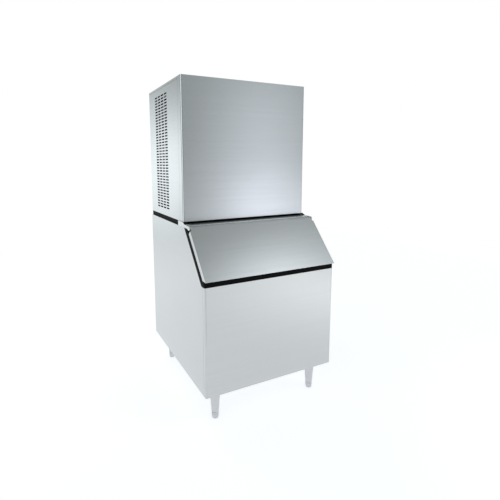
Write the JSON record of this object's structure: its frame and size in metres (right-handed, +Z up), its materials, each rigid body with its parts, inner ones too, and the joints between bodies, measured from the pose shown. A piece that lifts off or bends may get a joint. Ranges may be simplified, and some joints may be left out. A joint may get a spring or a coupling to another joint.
{
  "type": "ice machine",
  "caption": "Commercial modular ice machine: louvred stainless ice-maker head on an insulated storage bin with a sloping lift-up door and tapered levelling legs.",
  "frame": {"origin": "centre of the footprint, on the floor under the levelling feet", "axes": "+Z up, +Y towards the back, +X towards the right seen from the front"},
  "size_m": [0.768, 0.895, 1.736],
  "materials": {
    "grained_steel": "grained stainless sheet",
    "plain_steel": "dull stainless sheet",
    "galvanised_steel": "spangled zinc coat",
    "bracket_steel": "bright satin steel",
    "pin_steel": "turned bright steel",
    "leg_steel": "polished",
    "black_moulding": "fine-grained black moulding",
    "white_liner": "smooth moulded liner",
    "foam": "cellular rigid foam",
    "grey_rubber": "soft hollow seal",
    "black_rubber": "moulded rubber",
    "nylon": "natural white moulding",
    "plated_grid": "bright nickel plate",
    "grey_moulding": "satin moulding",
    "copper": "drawn copper, slightly dulled",
    "brass_body": "forged and machined",
    "clear_moulding": "milky see-through moulding",
    "white_moulding": "smooth moulding",
    "float_foam": "closed-cell foam on a moulded arm",
    "probe_steel": "satin",
    "clear_hose": "milky flexible hose",
    "pump_moulding": "fine-grained moulding",
    "black_can": "gloss black enamel",
    "finned_aluminium": "thin pressed fins",
    "fan_aluminium": "pressed sheet",
    "shroud_steel": "powder coat",
    "motor_housing": "satin enamel",
    "switch_moulding": "smooth moulding"
  },
  "bodies": {
    "cabinet": {"base_spacer": "black_moulding", "bin_back": "plain_steel", "bin_base": "plain_steel", "bin_deck": "plain_steel", "bin_drain": "nylon", "bin_foam": "foam", "bin_front": "grained_steel", "bin_liner": "white_liner", "bin_probe": "white_moulding", "bin_side_left": "grained_steel", "bin_side_right": "grained_steel", "cable_gland": "black_rubber", "compressor": "black_can", "compressor_grommets": "black_rubber", "condenser": "finned_aluminium", "control_box": "galvanised_steel", "distributor": "white_moulding", "door_frame": "black_moulding", "drier": "copper", "evaporator": "plated_grid", "evaporator_coil": "copper", "evaporator_frame": "grey_moulding", "expansion_valve": "brass_body", "fan_motor": "motor_housing", "fan_shroud": "shroud_steel", "float_valve": "white_moulding", "head_back": "plain_steel", "head_base": "galvanised_steel", "head_drain": "nylon", "head_front": "grained_steel", "head_side_left": "grained_steel", "head_side_right": "grained_steel", "head_top": "grained_steel", "hinge_brackets": "bracket_steel", "hinge_pins": "pin_steel", "hinge_rail": "grained_steel", "hot_gas_valve": "brass_body", "ice_probe": "probe_steel", "legs": "leg_steel", "partition": "galvanised_steel", "refrigerant_lines": "copper", "switch_body": "switch_moulding", "water_hoses": "clear_hose", "water_pump": "pump_moulding", "water_trough": "white_moulding", "water_valve": "pump_moulding"},
    "door": {"door_skin": "grained_steel", "door_foam": "foam", "door_liner": "white_liner", "door_gasket": "grey_rubber", "hinge_bushes": "nylon"},
    "curtain": {"water_curtain": "clear_moulding"},
    "fan": {"fan_blade": "fan_aluminium", "fan_shaft": "pin_steel"},
    "float": {"float_arm": "float_foam"},
    "switch": {"mode_switch": "switch_moulding"},
    "foot_front_left": {"foot_front_left": "leg_steel"},
    "foot_front_right": {"foot_front_right": "leg_steel"},
    "foot_back_left": {"foot_back_left": "leg_steel"},
    "foot_back_right": {"foot_back_right": "leg_steel"}
  },
  "joints": [
    {"name": "door_hinge", "type": "hinge", "parent": "cabinet", "child": "door", "pos_m": [0, -0.23921, 0.9753], "axis": [-1, 0, 0], "range_deg": [0, 152]},
    {"name": "curtain_swing", "type": "hinge", "parent": "cabinet", "child": "curtain", "pos_m": [0, 0.0015, 1.6416], "axis": [-1, 0, 0], "range_deg": [0, 16]},
    {"name": "fan_spin", "type": "hinge", "parent": "cabinet", "child": "fan", "pos_m": [-0.3288, 0.1835, 1.298], "axis": [1, 0, 0], "continuous": true},
    {"name": "float_lift", "type": "hinge", "parent": "cabinet", "child": "float", "pos_m": [-0.1888, 0.0215, 1.164], "axis": [0, -1, 0], "range_deg": [0, 15]},
    {"name": "switch_rock", "type": "hinge", "parent": "cabinet", "child": "switch", "pos_m": [0.3233, -0.0325, 1.4394], "axis": [1, 0, 0], "range_deg": [-12, 12]},
    {"name": "foot_front_left_screw", "type": "slide", "parent": "cabinet", "child": "foot_front_left", "axis": [0, 0, -1], "range_m": [0, 0.025]},
    {"name": "foot_front_right_screw", "type": "slide", "parent": "cabinet", "child": "foot_front_right", "axis": [0, 0, -1], "range_m": [0, 0.025]},
    {"name": "foot_back_left_screw", "type": "slide", "parent": "cabinet", "child": "foot_back_left", "axis": [0, 0, -1], "range_m": [0, 0.025]},
    {"name": "foot_back_right_screw", "type": "slide", "parent": "cabinet", "child": "foot_back_right", "axis": [0, 0, -1], "range_m": [0, 0.025]}
  ]
}
